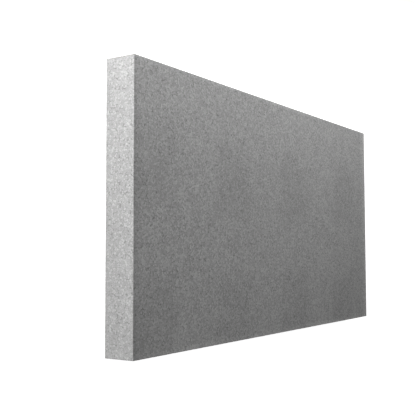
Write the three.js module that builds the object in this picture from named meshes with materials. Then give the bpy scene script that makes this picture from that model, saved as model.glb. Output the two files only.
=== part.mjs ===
// An expanded polystyrene insulation board: one block of fused foam beads, cut square on all six sides.
// It lies flat. Millimetres, +Z up, and the origin is the centre of the face that the board lies on.
import * as THREE from "three";

// Driving dimensions
const LENGTH = 1000; // along X
const WIDTH = 500; // along Y
const THICKNESS = 60; // along Z, from the back face up to the front face
const ARRIS_RADIUS = 0.8; // handling takes this much off the sharp edges round both large faces
const CORNER_WEAR = 0.6; // the four short edges through the thickness are rounder by this much
const ARC_STEPS = 4; // flats in each quarter-round

// Finish
const GRAPHITE_GREY = 0x8c8c8c; // the grey of the graphite in the beads
const FOAM_ROUGHNESS = 0.8; // a cut foam face scatters light, with a faint glaze

/** The board's outline seen from above, a rectangle with rounded corners, drawn anticlockwise. */
function boardOutline(length, width, radius) {
  const right = length / 2 - radius;
  const back = width / 2 - radius;
  const quarter = Math.PI / 2;
  const outline = new THREE.Shape();
  outline.absarc(right, back, radius, 0, quarter, false);
  outline.absarc(-right, back, radius, quarter, 2 * quarter, false);
  outline.absarc(-right, -back, radius, 2 * quarter, 3 * quarter, false);
  outline.absarc(right, -back, radius, 3 * quarter, 4 * quarter, false);
  outline.closePath();
  return outline;
}

/** The solid block: the outline raised by the thickness, with every arris rounded over. */
function boardGeometry() {
  const outline = boardOutline(LENGTH, WIDTH, ARRIS_RADIUS + CORNER_WEAR);
  const block = new THREE.ExtrudeGeometry(outline, {
    depth: THICKNESS - 2 * ARRIS_RADIUS,
    curveSegments: ARC_STEPS,
    bevelThickness: ARRIS_RADIUS,
    bevelSize: ARRIS_RADIUS,
    bevelOffset: -ARRIS_RADIUS,
    bevelSegments: ARC_STEPS,
  });
  // The lower roundover starts below the outline's plane, so the block is lifted to stand on Z = 0
  return block.translate(0, 0, ARRIS_RADIUS);
}

/** The one physical piece that the object is made of. */
function insulationBoard() {
  const foam = new THREE.MeshStandardMaterial({
    name: "graphite_foam",
    color: GRAPHITE_GREY,
    roughness: FOAM_ROUGHNESS,
    metalness: 0,
  });
  const board = new THREE.Mesh(boardGeometry(), foam);
  board.name = "insulation_board";
  return board;
}

const part = new THREE.Group();
part.add(insulationBoard());

export default part;
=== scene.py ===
"""The look of a grey expanded polystyrene insulation board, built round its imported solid.

The board was cut by hot wire out of a block of fused foam beads. Its faces show bead after bead in section,
each with a grey of its own, a darker seam round it and here and there a small gap where beads meet. The mesh
and the finish read one packing of beads, so the dents in the mesh lie where the painted beads do.

Everything is in metres, +Z up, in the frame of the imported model: the board lies flat with its front face up.
"""

import logging
import math
from dataclasses import dataclass
from enum import Enum

import bmesh
import bpy
from mathutils import Matrix, Vector


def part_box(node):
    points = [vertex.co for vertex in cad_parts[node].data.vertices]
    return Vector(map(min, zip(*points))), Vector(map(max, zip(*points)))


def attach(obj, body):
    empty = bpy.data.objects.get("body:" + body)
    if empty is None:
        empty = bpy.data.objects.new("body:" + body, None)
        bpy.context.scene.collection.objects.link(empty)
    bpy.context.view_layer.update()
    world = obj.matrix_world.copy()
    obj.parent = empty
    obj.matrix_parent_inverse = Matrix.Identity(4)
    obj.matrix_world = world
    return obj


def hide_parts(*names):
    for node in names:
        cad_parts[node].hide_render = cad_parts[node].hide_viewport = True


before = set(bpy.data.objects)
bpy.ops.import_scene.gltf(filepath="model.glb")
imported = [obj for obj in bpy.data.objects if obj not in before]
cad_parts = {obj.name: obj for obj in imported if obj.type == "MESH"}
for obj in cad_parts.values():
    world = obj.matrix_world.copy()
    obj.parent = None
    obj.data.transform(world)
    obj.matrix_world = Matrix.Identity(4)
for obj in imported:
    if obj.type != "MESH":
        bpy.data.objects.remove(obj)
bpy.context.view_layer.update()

MILLIMETRE = 0.001
BOARD_NODE = "insulation_board"
ROOT_BODY = "root"

log = logging.getLogger("insulation_board")


class Side(Enum):
    """The board's narrow faces, each by the axis that it stands across and whether it is at its high end."""

    NEAR_END = (0, False)
    FAR_END = (0, True)
    LOWER_EDGE = (1, False)
    UPPER_EDGE = (1, True)


class CellFeature(Enum):
    """What a Voronoi node measures in a packing of cells."""

    NEAREST_MIDDLE = "F1"
    NEAREST_WALL = "DISTANCE_TO_EDGE"


@dataclass(frozen=True)
class Signal:
    """One output of a node. Python's operators on it add the Math nodes for a value that varies in space."""

    graph: "Graph"
    socket: bpy.types.NodeSocket

    def output(self, name: str) -> "Signal":
        """Another output of the same node."""
        return Signal(self.graph, self.socket.node.outputs[name])

    def __add__(self, other: "Signal | float") -> "Signal":
        """This plus other."""
        return self.graph.math("ADD", self, other)

    def __radd__(self, other: float) -> "Signal":
        """Other plus this."""
        return self.graph.math("ADD", other, self)

    def __sub__(self, other: "Signal | float") -> "Signal":
        """This less other."""
        return self.graph.math("SUBTRACT", self, other)

    def __rsub__(self, other: float) -> "Signal":
        """Other less this."""
        return self.graph.math("SUBTRACT", other, self)

    def __mul__(self, other: "Signal | float") -> "Signal":
        """This times other."""
        return self.graph.math("MULTIPLY", self, other)

    def __rmul__(self, other: float) -> "Signal":
        """Other times this."""
        return self.graph.math("MULTIPLY", other, self)

    def smooth_step(self, start: float, end: float) -> "Signal":
        """0 where this is at start, 1 where it is at end, and an even curve between them.

        Args:
            start: the value that gives 0.
            end: the value that gives 1. It may be below start.

        Returns:
            The eased value.
        """
        settings = {"interpolation_type": "SMOOTHSTEP"}
        inputs = {"Value": self, "From Min": start, "From Max": end, "To Min": 0.0, "To Max": 1.0}
        if end < start:
            inputs.update({"From Min": end, "From Max": start, "To Min": 1.0, "To Max": 0.0})
        return self.graph.node("ShaderNodeMapRange", settings, inputs)


@dataclass(frozen=True)
class Graph:
    """A node tree, of a material or of geometry nodes, that is written as expressions."""

    tree: bpy.types.NodeTree

    def node(self, kind: str, settings: dict | None = None, inputs: dict | None = None) -> Signal:
        """Adds one node.

        Args:
            kind: the node's type.
            settings: the node's own properties by name, set before its sockets.
            inputs: values or signals by the socket's name or index.

        Returns:
            The node's first output that is in use.
        """
        made = self.tree.nodes.new(kind)
        for name, value in (settings or {}).items():
            setattr(made, name, value)
        for key, value in (inputs or {}).items():
            if isinstance(value, Signal):
                self.tree.links.new(value.socket, made.inputs[key])
            else:
                made.inputs[key].default_value = value
        live = [socket for socket in made.outputs if socket.enabled]
        return Signal(self, live[0] if live else None)

    def math(self, operation: str, *terms: "Signal | float") -> Signal:
        """A Math node on these terms."""
        return self.node("ShaderNodeMath", {"operation": operation}, dict(enumerate(terms)))

    def vector_math(self, operation: str, *terms: "Signal | tuple") -> Signal:
        """A Vector Math node on these terms."""
        return self.node("ShaderNodeVectorMath", {"operation": operation}, dict(enumerate(terms)))

    def scaled(self, vector: Signal, factor: "Signal | float") -> Signal:
        """A vector times one number."""
        return self.node("ShaderNodeVectorMath", {"operation": "SCALE"}, {"Vector": vector, "Scale": factor})

    def noise(self, place: Signal, size: float, detail: float, roughness: float) -> Signal:
        """Adds soft noise in space.

        Args:
            place: the position, in metres.
            size: the size of its largest waves, in metres.
            detail: how many finer waves it has.
            roughness: how strong each finer wave is against the one before.

        Returns:
            The noise, mostly between 0.25 and 0.75.
        """
        inputs = {"Vector": place, "Scale": 1.0 / size, "Detail": detail, "Roughness": roughness}
        return self.node("ShaderNodeTexNoise", {"noise_dimensions": "3D"}, inputs)


@dataclass(frozen=True)
class BeadSignals:
    """What the packing of beads says at a place.

    Attributes:
        tone: one random number from 0 to 1 for each bead.
        luck: a second random number from 0 to 1 for each bead.
        seam: how far the nearest seam is, in bead pitches.
        gap: 1 in a gap where beads didn't quite fill the space, and 0 elsewhere.
    """

    tone: Signal
    luck: Signal
    seam: Signal
    gap: Signal


@dataclass(frozen=True)
class BeadPacking:
    """The fused beads, packed through the whole block as one pattern in space.

    Attributes:
        pitch: the size of a bead, from seam to seam.
        disorder: how far the packing is from a lattice, from 0 to 1.
        warp: how far the seams wander from straight, in pitches.
        gap_from: how far from every bead's middle a gap begins, in pitches.
        gap_full: how far from every bead's middle a gap is deepest, in pitches.
        warp_detail: how many finer waves the wandering of the seams has.
        warp_roughness: how strong each finer wave is.
    """

    pitch: float = 3.6 * MILLIMETRE
    disorder: float = 0.92
    warp: float = 0.16
    gap_from: float = 0.66
    gap_full: float = 0.80
    warp_detail: float = 1.0
    warp_roughness: float = 0.5

    def read(self, graph: Graph, place: Signal) -> BeadSignals:
        """Adds the nodes that read the packing at a place.

        Args:
            graph: the node tree to add to.
            place: the position in the block, in metres.

        Returns:
            The signals of the bead there.
        """
        per_metre = 1.0 / self.pitch
        drift = graph.noise(place, self.pitch, self.warp_detail, self.warp_roughness).output("Color")
        centred = graph.vector_math("SUBTRACT", drift, (0.5, 0.5, 0.5))
        wandering = graph.vector_math("ADD", place, graph.scaled(centred, 2.0 * self.warp * self.pitch))
        cells = {"Vector": wandering, "Scale": per_metre, "Randomness": self.disorder}
        nearest = self._cells(graph, CellFeature.NEAREST_MIDDLE, cells)
        wall = self._cells(graph, CellFeature.NEAREST_WALL, cells)
        chance = graph.node("ShaderNodeSeparateXYZ", None, {0: nearest.output("Color")})
        return BeadSignals(
            tone=chance.output("X"),
            luck=chance.output("Y"),
            seam=wall.output("Distance"),
            gap=nearest.output("Distance").smooth_step(self.gap_from, self.gap_full),
        )

    def _cells(self, graph: Graph, feature: CellFeature, inputs: dict) -> Signal:
        """One Voronoi node in space."""
        settings = {"voronoi_dimensions": "3D", "feature": feature.value}
        return graph.node("ShaderNodeTexVoronoi", settings, inputs)


@dataclass(frozen=True)
class LargeFaces:
    """The board's two large faces, as against its ends and long edges.

    Attributes:
        low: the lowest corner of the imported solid.
        high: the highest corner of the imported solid.
        fade: how far below a large face its own marks begin to show, and how far below they are full.
    """

    low: Vector
    high: Vector
    fade: tuple[float, float] = (1.5 * MILLIMETRE, 0.5 * MILLIMETRE)

    def mask(self, graph: Graph, place: Signal) -> Signal:
        """Adds the nodes that tell the large faces from the others.

        Args:
            graph: the node tree to add to.
            place: the position on the board, in metres.

        Returns:
            1 on the two large faces and 0 on the others.
        """
        height = graph.node("ShaderNodeSeparateXYZ", None, {0: place}).output("Z")
        half = (self.high.z - self.low.z) / 2
        from_middle = graph.math("ABSOLUTE", height - (self.low.z + half))
        return from_middle.smooth_step(half - self.fade[0], half - self.fade[1])


@dataclass(frozen=True)
class SoftPatches:
    """The soft darker patches that lie at an even spacing over the large faces.

    Attributes:
        spacing: from the middle of one patch to the next, both ways.
        middle: the middle of one patch, along and across the board.
        along: the cosines at which a patch begins and is full, along the board.
        across: the same across the board.
        wander: how far noise shifts the edge of a patch, as a cosine.
        ragged: the size of the waves in that edge.
        ragged_detail: how many finer waves it has.
        ragged_roughness: how strong each finer wave is.
    """

    spacing: float = 265 * MILLIMETRE
    middle: tuple[float, float] = (-185 * MILLIMETRE, 66 * MILLIMETRE)
    along: tuple[float, float] = (-0.40, 0.55)
    across: tuple[float, float] = (-0.60, 0.40)
    wander: float = 1.6
    ragged: float = 66.25 * MILLIMETRE
    ragged_detail: float = 2.0
    ragged_roughness: float = 0.5

    def read(self, graph: Graph, place: Signal) -> Signal:
        """Adds the nodes that read the patches at a place.

        Args:
            graph: the node tree to add to.
            place: the position on the board, in metres.

        Returns:
            1 in the middle of a patch and 0 between patches.
        """
        turns = 2.0 * math.pi / self.spacing
        noise = graph.noise(place, self.ragged, self.ragged_detail, self.ragged_roughness)
        shift = self.wander * (noise - 0.5)
        apart = graph.node("ShaderNodeSeparateXYZ", None, {0: place})
        along = graph.math("COSINE", turns * (apart.output("X") - self.middle[0])) + shift
        across = graph.math("COSINE", turns * (apart.output("Y") - self.middle[1])) + shift
        return along.smooth_step(*self.along) * across.smooth_step(*self.across)


@dataclass(frozen=True)
class PaintedEdgeStrip:
    """A strip of the large faces along one side, with painted light: a painted highlight where it is lighter,
    painted shade where it is darker.

    Attributes:
        side: the side that it lies along.
        band: how wide it is.
        painted_light: how much lighter the painted highlight makes it at the arris, as a share. Below 0 it is
            painted shade, darker.
    """

    side: Side
    band: float
    painted_light: float


@dataclass(frozen=True)
class PaintedEdgeLight:
    """Painted light round the large faces: strips of painted highlight along the far end and the long edges,
    and painted shade along the near end.

    Attributes:
        faces: the large faces that they are on.
        painted_strips: the strips of painted highlight and painted shade, whose changes add up where they
            overlap.
    """

    faces: LargeFaces
    painted_strips: tuple[PaintedEdgeStrip, ...] = (
        PaintedEdgeStrip(Side.NEAR_END, band=8 * MILLIMETRE, painted_light=-0.16),
        PaintedEdgeStrip(Side.NEAR_END, band=32 * MILLIMETRE, painted_light=-0.07),
        PaintedEdgeStrip(Side.FAR_END, band=38 * MILLIMETRE, painted_light=0.22),
        PaintedEdgeStrip(Side.LOWER_EDGE, band=14 * MILLIMETRE, painted_light=0.18),
        PaintedEdgeStrip(Side.UPPER_EDGE, band=9 * MILLIMETRE, painted_light=0.13),
    )

    def read(self, graph: Graph, place: Signal) -> Signal:
        """Adds the nodes that read the strips at a place.

        Args:
            graph: the node tree to add to.
            place: the position on the board, in metres.

        Returns:
            How much lighter the painted highlight makes the foam's grey there, as a share; below 0 where
            painted shade lies.
        """
        apart = graph.node("ShaderNodeSeparateXYZ", None, {0: place})
        coordinates = (apart.output("X"), apart.output("Y"))
        painted_light = 0.0
        for painted_rim in self.painted_strips:
            axis, at_high_end = painted_rim.side.value
            inwards = coordinates[axis] - self.faces.low[axis]
            if at_high_end:
                inwards = self.faces.high[axis] - coordinates[axis]
            painted_light = painted_light + painted_rim.painted_light * inwards.smooth_step(painted_rim.band, 0.0)
        return painted_light


@dataclass(frozen=True)
class FoamFinish:
    """Grey foam cut by hot wire: matt, faintly glazed, and mottled bead by bead.

    Attributes:
        packing: the beads that the colour and the relief follow.
        faces: the large faces, which alone have the patches and the strips of painted highlight and painted
            shade.
        patches: the soft darker patches.
        grey: the foam's reflectance between patches, seams and gaps.
        blue_share: how much blue the foam sends back for each part of red and green.
        tone_spread: how much lighter or darker the extreme beads are than the mean, as a share.
        seam_width: half the width of the dark seam between beads, in pitches.
        seam_shade: how much darker the seam is, as a share.
        gap_shade: how much darker a gap is, as a share.
        cell_size: the size of the foam's own cells inside a bead.
        cell_spread: how much the cells vary in grey, as a share.
        patch_shade: how much darker the middle of a patch is, as a share.
        cloud_size: the size of the small clouds where the beads lie looser or closer.
        cloud_spread: how much the clouds vary in grey, as a share.
        noise_detail: how many finer waves the cells and clouds have.
        noise_roughness: how strong each finer wave is.
        glaze: the roughness where the wire melted the skin.
        matt: the roughness in the seams and gaps.
        relief: how high a bead's middle stands above its seam.
        dome_width: how far from the seam a bead has its full height, in pitches.
        cell_relief: how high the cells stand, as a share of the bead.
        gleam: how strongly the foam's skin reflects.
    """

    packing: BeadPacking
    faces: LargeFaces
    patches: SoftPatches = SoftPatches()
    grey: float = 0.316
    blue_share: float = 0.994
    tone_spread: float = 0.18
    seam_width: float = 0.09
    seam_shade: float = 0.22
    gap_shade: float = 0.30
    cell_size: float = 1.3 * MILLIMETRE
    cell_spread: float = 0.08
    patch_shade: float = 0.08
    cloud_size: float = 34 * MILLIMETRE
    cloud_spread: float = 0.12
    noise_detail: float = 2.0
    noise_roughness: float = 0.55
    glaze: float = 0.58
    matt: float = 0.85
    relief: float = 0.05 * MILLIMETRE
    dome_width: float = 0.35
    cell_relief: float = 0.25
    gleam: float = 0.35

    def build(self) -> bpy.types.Material:
        """Makes the material.

        Returns:
            The material, which reads object coordinates only.
        """
        material = bpy.data.materials.new("graphite_foam_beads")
        material.use_nodes = True
        graph = Graph(material.node_tree)
        shader = material.node_tree.nodes["Principled BSDF"]
        place = graph.node("ShaderNodeTexCoord").output("Object")
        beads = self.packing.read(graph, place)
        seam = beads.seam.smooth_step(0.0, self.seam_width)
        cells = graph.noise(place, self.cell_size, self.noise_detail, self.noise_roughness)
        clouds = graph.noise(place, self.cloud_size, self.noise_detail, self.noise_roughness)
        on_face = self.faces.mask(graph, place)
        patch = on_face * self.patches.read(graph, place)
        # painted light on the large faces: painted highlight along the far end and the long edges, painted
        # shade along the near end
        painted_rim = on_face * PaintedEdgeLight(self.faces).read(graph, place)
        shade = (
            self.grey
            * (1.0 + 2.0 * self.tone_spread * (beads.tone - 0.5))
            * (1.0 - self.seam_shade * (1.0 - seam))
            * (1.0 - self.gap_shade * beads.gap)
            * (1.0 + 2.0 * self.cell_spread * (cells - 0.5))
            * (1.0 + 2.0 * self.cloud_spread * (clouds - 0.5))
            * (1.0 - self.patch_shade * patch)
            * (1.0 + painted_rim)
        )
        channels = {"Red": shade, "Green": shade, "Blue": self.blue_share * shade}
        colour = graph.node("ShaderNodeCombineColor", None, channels)
        roughness = self.matt + (self.glaze - self.matt) * (seam * (1.0 - beads.gap))
        dome = beads.seam.smooth_step(0.0, self.dome_width)
        height = dome * (1.0 - beads.gap) + self.cell_relief * cells
        raised = {"Height": height, "Distance": self.relief, "Strength": 1.0}
        bump = graph.node("ShaderNodeBump", None, raised)
        tree = material.node_tree
        tree.links.new(colour.socket, shader.inputs["Base Color"])
        tree.links.new(roughness.socket, shader.inputs["Roughness"])
        tree.links.new(bump.socket, shader.inputs["Normal"])
        shader.inputs["Specular IOR Level"].default_value = self.gleam
        return material


@dataclass(frozen=True)
class PaleFinish:
    """The studio's pale floor, which glows so that shadows on it stay faint, and is clear seen from beneath.

    Attributes:
        reflectance: how much light the floor sends back.
        glow: how much light it gives.
        roughness: how matt it is.
    """

    reflectance: float = 0.80
    glow: float = 0.84
    roughness: float = 0.9

    def build(self) -> bpy.types.Material:
        """Makes the material.

        Returns:
            The material, the same all over.
        """
        material = bpy.data.materials.new("pale_floor")
        material.use_nodes = True
        tree = material.node_tree
        graph = Graph(tree)
        shader = tree.nodes["Principled BSDF"]
        white = (self.reflectance, self.reflectance, self.reflectance, 1.0)
        shader.inputs["Base Color"].default_value = white
        shader.inputs["Roughness"].default_value = self.roughness
        shader.inputs["Specular IOR Level"].default_value = 0.0
        shader.inputs["Emission Color"].default_value = (1.0, 1.0, 1.0, 1.0)
        shader.inputs["Emission Strength"].default_value = self.glow
        pale = Signal(graph, shader.outputs["BSDF"])
        clear = graph.node("ShaderNodeBsdfTransparent")
        beneath = graph.node("ShaderNodeNewGeometry").output("Backfacing")
        seen = graph.node("ShaderNodeMixShader", None, {0: beneath, 1: pale, 2: clear})
        tree.links.new(seen.socket, tree.nodes["Material Output"].inputs["Surface"])
        return material


@dataclass(frozen=True)
class FoamBoard:
    """The board as one closed mesh, with its worn arrises and the relief of the beads along them.

    The relief fades out where the mesh gets too coarse for it, and there the finish alone carries it.

    Attributes:
        low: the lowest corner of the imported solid.
        high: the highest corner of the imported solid.
        packing: the beads that the relief and the finish follow.
        arris_radius: how far the sharp edges are rounded over.
        arris_steps: facets in that round.
        slab: how thick the slabs are that the block is cut into first, along each axis.
        coarse: the longest mesh edge far from every arris.
        fine: the longest mesh edge at an arris.
        fine_band: how far from an arris the mesh stays fine.
        growth: how much longer an edge may be for each length that it lies further in.
        slack: how far over its longest an edge may be before it is cut, as a factor.
        flat_angle: the most that two faces may turn from each other and still count as flat, in radians.
        least_area: the area below which a face is too thin to have a direction.
        relief_band: how far in from an arris the relief reaches.
        gap_depth: how deep a gap between beads goes.
        seam_depth: how deep a seam between beads goes.
        seam_width: half the width of that seam, in pitches.
        bead_step: how far one bead may lie below its neighbours.
        bite: the most that an arris bead has lost.
        bite_band: how far in from the arris beads have lost some of their edge.
        bite_width: how far from its seam a bead has lost the full bite, in pitches.
        bite_luck: the random numbers at which beads begin to lose some and have lost most.
    """

    low: Vector
    high: Vector
    packing: BeadPacking
    arris_radius: float = 0.8 * MILLIMETRE
    arris_steps: int = 3
    slab: float = 25.0 * MILLIMETRE
    coarse: float = 12.5 * MILLIMETRE
    fine: float = 1.6 * MILLIMETRE
    fine_band: float = 4.0 * MILLIMETRE
    growth: float = 0.35
    slack: float = 1.05
    flat_angle: float = 0.01
    least_area: float = 1e-4 * MILLIMETRE**2
    relief_band: float = 9.0 * MILLIMETRE
    gap_depth: float = 0.15 * MILLIMETRE
    seam_depth: float = 0.04 * MILLIMETRE
    seam_width: float = 0.2
    bead_step: float = 0.02 * MILLIMETRE
    bite: float = 0.35 * MILLIMETRE
    bite_band: float = 2.5 * MILLIMETRE
    bite_width: float = 0.3
    bite_luck: tuple[float, float] = (0.35, 0.95)

    def build(self) -> bpy.types.Object:
        """Builds the board.

        Returns:
            The finished object, at the origin and unturned, with its place in its mesh.
        """
        shape = self._block()
        self._refine(shape)
        mesh = bpy.data.meshes.new("foam_board")
        shape.to_mesh(mesh)
        shape.free()
        board = bpy.data.objects.new("foam_board", mesh)
        bpy.context.scene.collection.objects.link(board)
        self._roughen(board)
        board.data.shade_smooth()
        board.data.materials.append(FoamFinish(self.packing, LargeFaces(self.low, self.high)).build())
        return board

    def _block(self) -> bmesh.types.BMesh:
        """Makes the plain block with its arrises rounded over.

        Returns:
            The block, in its place.
        """
        size = self.high - self.low
        middle = (self.high + self.low) / 2
        shape = bmesh.new()
        placed = Matrix.Translation(middle) @ Matrix.Diagonal(size.to_4d())
        bmesh.ops.create_cube(shape, size=1.0, matrix=placed)
        bmesh.ops.bevel(
            shape,
            geom=shape.edges[:],
            offset=self.arris_radius,
            offset_type="OFFSET",
            affect="EDGES",
            segments=self.arris_steps,
            profile=0.5,
            material=-1,
        )
        return shape

    def _refine(self, shape: bmesh.types.BMesh) -> None:
        """Cuts the block into slabs, then edges in half until each is as short as its place asks.

        The faces are then made triangles, and flat edges are turned where that gives fuller ones.

        Args:
            shape: the block, which is changed.
        """
        axes = (Vector((1, 0, 0)), Vector((0, 1, 0)), Vector((0, 0, 1)))
        for axis in axes:
            start, end = self.low.dot(axis), self.high.dot(axis)
            slabs = max(2, round((end - start) / self.slab))
            for cut in range(1, slabs):
                level = start + (end - start) * cut / slabs
                everything = shape.verts[:] + shape.edges[:] + shape.faces[:]
                bmesh.ops.bisect_plane(shape, geom=everything, plane_co=axis * level, plane_no=axis)
        long_edges = self._long_edges(shape)
        while long_edges:
            bmesh.ops.subdivide_edges(shape, edges=long_edges, cuts=1, use_grid_fill=True)
            long_edges = self._long_edges(shape)
        bmesh.ops.triangulate(shape, faces=shape.faces[:], quad_method="BEAUTY", ngon_method="BEAUTY")
        turnable = [edge for edge in shape.edges if self._may_turn(edge)]
        bmesh.ops.beautify_fill(shape, faces=shape.faces[:], edges=turnable, method="AREA")

    def _long_edges(self, shape: bmesh.types.BMesh) -> list[bmesh.types.BMEdge]:
        """The edges that are too long for where they are."""
        return [edge for edge in shape.edges if edge.calc_length() > self._reach(edge)]

    def _may_turn(self, edge: bmesh.types.BMEdge) -> bool:
        """Whether an edge lies between two faces in one plane, or beside a face too thin to tell."""
        thinnest = min(face.calc_area() for face in edge.link_faces)
        return edge.calc_face_angle(0.0) < self.flat_angle or thinnest < self.least_area

    def _reach(self, edge: bmesh.types.BMEdge) -> float:
        """How long an edge may be, from the distance of its nearer end to the nearest arris."""
        nearer = min(self._from_arris(vert.co) for vert in edge.verts)
        longest = self.fine + self.growth * max(0.0, nearer - self.fine_band)
        return min(self.coarse, longest) * self.slack

    def _from_arris(self, point: Vector) -> float:
        """The distance from a point on the surface to the nearest arris: to its second nearest side."""
        below, above = point - self.low, self.high - point
        return sorted(map(min, below, above))[1]

    def _roughen(self, board: bpy.types.Object) -> None:
        """Presses the relief of the beads into the mesh, inwards only.

        Args:
            board: the smooth board, whose mesh is replaced.
        """
        modifier = board.modifiers.new("bead_relief", "NODES")
        modifier.node_group = self._relief()
        seen = board.evaluated_get(bpy.context.evaluated_depsgraph_get())
        rough = bpy.data.meshes.new_from_object(seen)
        board.modifiers.clear()
        smooth = board.data
        board.data = rough
        bpy.data.meshes.remove(smooth)
        rough.name = "foam_board"

    def _relief(self) -> bpy.types.NodeTree:
        """Makes the geometry nodes that move each point inwards by the depth of the surface there.

        Returns:
            The node tree for a modifier.
        """
        tree = bpy.data.node_groups.new("bead_relief", "GeometryNodeTree")
        tree.interface.new_socket("Geometry", in_out="INPUT", socket_type="NodeSocketGeometry")
        tree.interface.new_socket("Geometry", in_out="OUTPUT", socket_type="NodeSocketGeometry")
        graph = Graph(tree)
        shape = graph.node("NodeGroupInput")
        place = graph.node("GeometryNodeInputPosition")
        normal = graph.node("GeometryNodeInputNormal")
        beads = self.packing.read(graph, place)
        seam = 1.0 - beads.seam.smooth_step(0.0, self.seam_width)
        whole = beads.seam.smooth_step(0.0, self.bite_width)
        inset = self._inset(graph, place)
        worn = inset.smooth_step(self.bite_band, 0.0) * beads.luck.smooth_step(*self.bite_luck)
        depth = self.gap_depth * beads.gap + self.seam_depth * seam + self.bead_step * beads.tone
        depth = depth * inset.smooth_step(self.relief_band, 0.0) + self.bite * (worn * whole)
        inwards = graph.scaled(normal, 0.0 - depth)
        moved = graph.node("GeometryNodeSetPosition", None, {"Geometry": shape, "Offset": inwards})
        graph.node("NodeGroupOutput", None, {0: moved})
        return tree

    def _inset(self, graph: Graph, place: Signal) -> Signal:
        """The same distance to the nearest arris as _from_arris gives, as nodes.

        Args:
            graph: the node tree to add to.
            place: the position on the surface.

        Returns:
            The distance in metres.
        """
        middle = (self.high + self.low) / 2
        half = (self.high - self.low) / 2
        offset = graph.vector_math("ABSOLUTE", graph.vector_math("SUBTRACT", place, tuple(middle)))
        to_sides = graph.vector_math("SUBTRACT", tuple(half), offset)
        apart = graph.node("ShaderNodeSeparateXYZ", None, {0: to_sides})
        along, across, through = apart.output("X"), apart.output("Y"), apart.output("Z")
        least = graph.math("MINIMUM", along, graph.math("MINIMUM", across, through))
        most = graph.math("MAXIMUM", along, graph.math("MAXIMUM", across, through))
        return along + across + through - least - most


@dataclass(frozen=True)
class Softbox:
    """A rectangular softbox that isn't seen itself.

    Attributes:
        name: what the light is for.
        place: where its middle is.
        aim: the point that it faces.
        wide: its size across, level with the floor.
        high: its size up.
        watts: its power.
    """

    name: str
    place: tuple[float, float, float]
    aim: tuple[float, float, float]
    wide: float
    high: float
    watts: float

    def build(self) -> bpy.types.Object:
        """Makes the light.

        Returns:
            The light's object.
        """
        lamp = bpy.data.lights.new(self.name, "AREA")
        lamp.shape = "RECTANGLE"
        lamp.size = self.wide
        lamp.size_y = self.high
        lamp.energy = self.watts
        box = bpy.data.objects.new(self.name, lamp)
        facing = Vector(self.aim) - Vector(self.place)
        turned = facing.to_track_quat("-Z", "Y").to_matrix().to_4x4()
        box.matrix_world = Matrix.Translation(self.place) @ turned
        box.visible_camera = False
        bpy.context.scene.collection.objects.link(box)
        return box


@dataclass(frozen=True)
class Studio:
    """A pale floor and soft light.

    Attributes:
        floor_side: the side of the square floor.
        floor_gap: how far below the board's back face the floor is, so that the two don't share a plane.
        horizon: the brightness of the surroundings level with the floor.
        zenith: the brightness of the surroundings above.
        haze: how far up the bright horizon reaches, as the sine of its height.
        softboxes: the lights.
    """

    floor_side: float = 400.0
    floor_gap: float = 0.2 * MILLIMETRE
    horizon: float = 0.95
    zenith: float = 0.12
    haze: float = 0.42
    softboxes: tuple[Softbox, ...] = (
        Softbox(
            "upper_edge_strip",
            place=(0.04, 0.56, 0.42),
            aim=(0.02, 0.1, 0.0),
            wide=1.6,
            high=0.3,
            watts=4.1,
        ),
        Softbox(
            "near_end_softbox",
            place=(-1.30, 0.76, 0.22),
            aim=(-0.5, 0.0, 0.03),
            wide=0.6,
            high=0.3,
            watts=15.0,
        ),
        Softbox(
            "far_fill_softbox",
            place=(0.3, 0.2, 0.9),
            aim=(0.2, 0.1, 0.0),
            wide=0.6,
            high=0.4,
            watts=1.45,
        ),
        Softbox(
            "near_fill_softbox",
            place=(-0.52, -0.45, 0.8),
            aim=(-0.35, -0.1, 0.06),
            wide=0.6,
            high=0.4,
            watts=0.66,
        ),
    )

    def build(self) -> None:
        """Makes the floor, the surroundings and the lights."""
        scene = bpy.context.scene
        scene.view_settings.view_transform = "Standard"
        self._floor()
        scene.world = self._surroundings()
        for softbox in self.softboxes:
            softbox.build()

    def _floor(self) -> bpy.types.Object:
        """Makes the pale floor that the board lies on.

        Returns:
            The floor's object.
        """
        shape = bmesh.new()
        lowered = Matrix.Translation((0.0, 0.0, -self.floor_gap))
        bmesh.ops.create_grid(shape, x_segments=1, y_segments=1, size=self.floor_side / 2, matrix=lowered)
        mesh = bpy.data.meshes.new("studio_floor")
        shape.to_mesh(mesh)
        shape.free()
        mesh.materials.append(PaleFinish().build())
        floor = bpy.data.objects.new("studio_floor", mesh)
        bpy.context.scene.collection.objects.link(floor)
        return floor

    def _surroundings(self) -> bpy.types.World:
        """Makes a neutral glow from all round, pale at the horizon and dim above.

        Returns:
            The world that gives it.
        """
        world = bpy.data.worlds.new("studio")
        world.use_nodes = True
        graph = Graph(world.node_tree)
        direction = graph.node("ShaderNodeTexCoord").output("Generated")
        height = graph.node("ShaderNodeSeparateXYZ", None, {0: direction}).output("Z")
        strength = self.horizon + (self.zenith - self.horizon) * height.smooth_step(0.0, self.haze)
        glow = world.node_tree.nodes["Background"]
        glow.inputs["Color"].default_value = (1.0, 1.0, 1.0, 1.0)
        world.node_tree.links.new(strength.socket, glow.inputs["Strength"])
        return world


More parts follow.
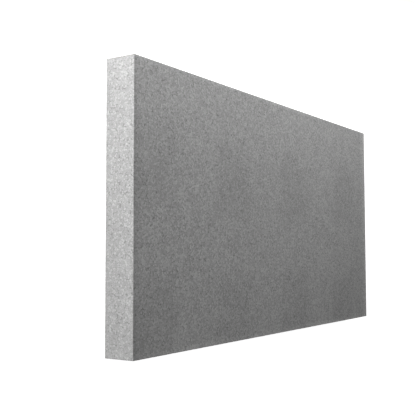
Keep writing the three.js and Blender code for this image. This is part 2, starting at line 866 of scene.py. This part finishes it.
@dataclass(frozen=True)
class PhotoCamera:
    """The photograph's camera, in its place about the board.

    The photograph shows the board upright on a long edge. The board lies on its back here, and the camera
    turned over with it: it looks down from beyond the near end, and the board's +Y is up in the picture.

    Attributes:
        place: where the camera is.
        aim: the point of the front face in the middle of the picture.
        picture_up: the direction in the block that is up in the picture.
        roll_deg: a last small turn about the line of sight.
        focal_pixels: the focal length, in pixels of the photograph.
        picture_pixels: the side of the square photograph.
        sensor_mm: the width of the sensor that the lens is given for.
    """

    place: tuple[float, float, float] = (-1.4424, -0.0755, 0.8253)
    aim: tuple[float, float, float] = (-0.2830, 0.0073, 0.0600)
    picture_up: tuple[float, float, float] = (0.0, 1.0, 0.0)
    roll_deg: float = -0.11
    focal_pixels: float = 747.2
    picture_pixels: int = 415
    sensor_mm: float = 36.0

    def build(self) -> bpy.types.Object:
        """Makes the camera and gives it to the scene.

        Returns:
            The camera's object.
        """
        data = bpy.data.cameras.new("photo_camera")
        data.sensor_width = self.sensor_mm
        data.lens = self.focal_pixels / self.picture_pixels * self.sensor_mm
        camera = bpy.data.objects.new("photo_camera", data)
        forward = (Vector(self.aim) - Vector(self.place)).normalized()
        right = forward.cross(Vector(self.picture_up)).normalized()
        turned = Matrix((right, right.cross(forward), -forward)).transposed()
        rolled = turned @ Matrix.Rotation(math.radians(self.roll_deg), 3, "Z")
        camera.matrix_world = Matrix.Translation(self.place) @ rolled.to_4x4()
        bpy.context.scene.collection.objects.link(camera)
        bpy.context.scene.camera = camera
        return camera


def report(piece: bpy.types.Object) -> None:
    """Logs how fine a finished piece is."""
    piece.data.calc_loop_triangles()
    log.info("%s: %d triangles", piece.name, len(piece.data.loop_triangles))


def main() -> None:
    """Builds the camera, the studio and the board."""
    logging.basicConfig(level=logging.INFO, format="%(name)s: %(message)s")
    PhotoCamera().build()
    Studio().build()
    low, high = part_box(BOARD_NODE)
    board = FoamBoard(low, high, BeadPacking()).build()
    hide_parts(BOARD_NODE)
    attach(board, ROOT_BODY)
    report(board)


if __name__ == "__main__":
    main()
